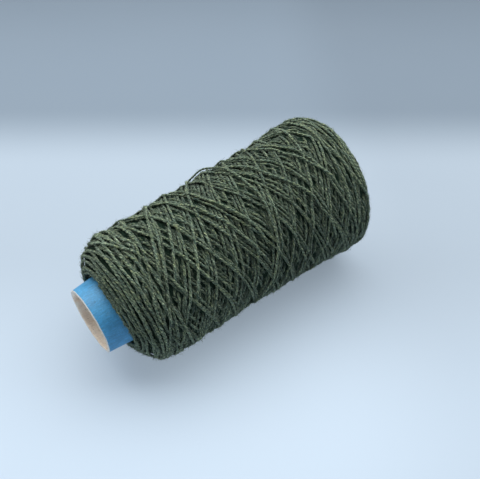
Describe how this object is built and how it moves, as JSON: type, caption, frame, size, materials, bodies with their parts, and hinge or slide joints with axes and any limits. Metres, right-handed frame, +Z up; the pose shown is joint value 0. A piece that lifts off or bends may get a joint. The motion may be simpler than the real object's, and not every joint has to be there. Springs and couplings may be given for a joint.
{
  "type": "cone of yarn",
  "caption": "Yarn cross-wound on a tapered paper cone, lying on its flank, with the cone's narrow end showing.",
  "frame": {"origin": "middle of the bounding box in plan, on the surface that the package lies on", "axes": "+X along the package from its nose to its base, +Y across it, +Z up from the surface; the package's axis rises 3.2 degrees towards +X"},
  "size_m": [0.1728, 0.0906, 0.0886],
  "materials": {
    "grey_green_yarn": "matte",
    "blue_paper": "satin"
  },
  "bodies": {
    "root": {"paper_cone": "blue_paper", "yarn_package": "grey_green_yarn"}
  },
  "joints": []
}
